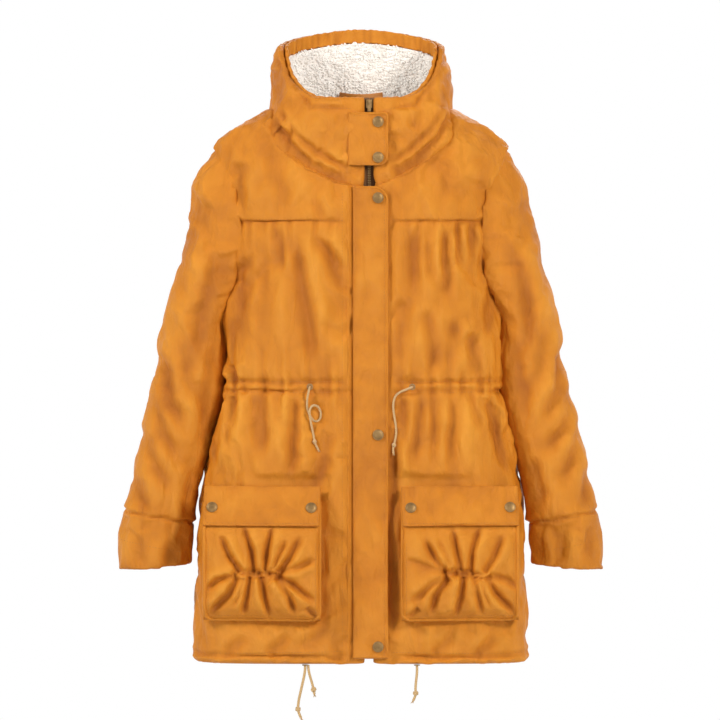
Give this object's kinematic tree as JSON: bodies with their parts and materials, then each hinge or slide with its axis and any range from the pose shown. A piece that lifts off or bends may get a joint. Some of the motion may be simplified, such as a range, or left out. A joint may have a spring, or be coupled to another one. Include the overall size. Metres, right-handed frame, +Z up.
{
  "type": "padded parka",
  "caption": "Hip-length padded parka with a fleece-lined stand collar, zip under a snapped storm flap, drawcord waist and hem, and bellows pockets.",
  "frame": {"origin": "at the height of the neck points, on the coat's middle plane and over the middle of its thickness, where a hanger holds it", "axes": "+Z up; the front faces -Y; +X is the wearer's left"},
  "size_m": [0.722, 0.2091, 1.0117],
  "materials": {
    "shell_cloth": "fine plain weave with a slight satin",
    "fleece": "curly pile",
    "lining_cloth": "smooth satin",
    "zip_tape": "woven tape",
    "drawcord": "braided cotton",
    "antique_brass": "aged satin"
  },
  "bodies": {
    "coat": {"right_front_yoke": "shell_cloth", "left_front_yoke": "shell_cloth", "back_yoke": "shell_cloth", "right_front_panel": "shell_cloth", "left_front_panel": "shell_cloth", "back_panel": "shell_cloth", "right_front_lining": "fleece", "left_front_lining": "fleece", "back_lining": "fleece", "waist_channel": "lining_cloth", "hem_facing": "shell_cloth", "collar_shell": "shell_cloth", "collar_fleece": "fleece", "collar_rim": "shell_cloth", "hang_loop": "shell_cloth", "right_zip_tape": "zip_tape", "left_zip_tape": "zip_tape", "right_zip_teeth": "antique_brass", "left_zip_teeth": "antique_brass", "zip_box": "antique_brass", "storm_snap_stud_1": "antique_brass", "storm_snap_stud_2": "antique_brass", "storm_snap_stud_3": "antique_brass", "collar_snap_stud_1": "antique_brass", "collar_snap_stud_2": "antique_brass", "right_pocket": "shell_cloth", "left_pocket": "shell_cloth", "right_pocket_snap_stud_1": "antique_brass", "right_pocket_snap_stud_2": "antique_brass", "left_pocket_snap_stud_1": "antique_brass", "left_pocket_snap_stud_2": "antique_brass", "right_waist_eyelet": "antique_brass", "left_waist_eyelet": "antique_brass", "right_hem_eyelet": "antique_brass", "left_hem_eyelet": "antique_brass", "right_waist_cord": "drawcord", "left_waist_cord": "drawcord", "right_hem_cord": "drawcord", "left_hem_cord": "drawcord"},
    "storm_flap": {"storm_flap": "shell_cloth", "storm_snap_cap_1": "antique_brass", "storm_snap_cap_2": "antique_brass", "storm_snap_cap_3": "antique_brass"},
    "collar_flap": {"collar_flap": "shell_cloth", "collar_snap_cap_1": "antique_brass", "collar_snap_cap_2": "antique_brass"},
    "right_pocket_flap": {"right_pocket_flap": "shell_cloth", "right_pocket_snap_cap_1": "antique_brass", "right_pocket_snap_cap_2": "antique_brass"},
    "left_pocket_flap": {"left_pocket_flap": "shell_cloth", "left_pocket_snap_cap_1": "antique_brass", "left_pocket_snap_cap_2": "antique_brass"},
    "right_sleeve": {"right_sleeve": "shell_cloth", "right_cuff": "shell_cloth", "right_sleeve_lining": "lining_cloth"},
    "left_sleeve": {"left_sleeve": "shell_cloth", "left_cuff": "shell_cloth", "left_sleeve_lining": "lining_cloth"},
    "zip_slider": {"zip_slider": "antique_brass"},
    "zip_pull": {"zip_pull": "antique_brass"}
  },
  "joints": [
    {"name": "storm_flap_hinge", "type": "hinge", "parent": "coat", "child": "storm_flap", "pos_m": [-0.012, -0.0866, -0.4575], "axis": [0, 0, -1], "range_deg": [0, 145]},
    {"name": "collar_flap_hinge", "type": "hinge", "parent": "coat", "child": "collar_flap", "pos_m": [-0.019, -0.0866, -0.042], "axis": [0, 0, -1], "range_deg": [0, 160]},
    {"name": "right_pocket_flap_hinge", "type": "hinge", "parent": "coat", "child": "right_pocket_flap", "pos_m": [-0.05828, -0.09059, -0.551], "axis": [-0.9956, 0.0941, 0], "range_deg": [0, 140]},
    {"name": "left_pocket_flap_hinge", "type": "hinge", "parent": "coat", "child": "left_pocket_flap", "pos_m": [0.05828, -0.09059, -0.551], "axis": [-0.9956, -0.0941, 0], "range_deg": [0, 140]},
    {"name": "right_sleeve_swing", "type": "hinge", "parent": "coat", "child": "right_sleeve", "pos_m": [-0.222, 0, -0.06], "axis": [0, 1, 0], "range_deg": [0, 60]},
    {"name": "left_sleeve_swing", "type": "hinge", "parent": "coat", "child": "left_sleeve", "pos_m": [0.222, 0, -0.06], "axis": [0, -1, 0], "range_deg": [0, 60]},
    {"name": "zip_slide", "type": "slide", "parent": "coat", "child": "zip_slider", "axis": [0, 0, -1], "range_m": [0, 0.79]},
    {"name": "zip_pull_swing", "type": "hinge", "parent": "zip_slider", "child": "zip_pull", "pos_m": [0.012, -0.0757, 0.0114], "axis": [-1, 0, 0], "range_deg": [0, 160]}
  ]
}
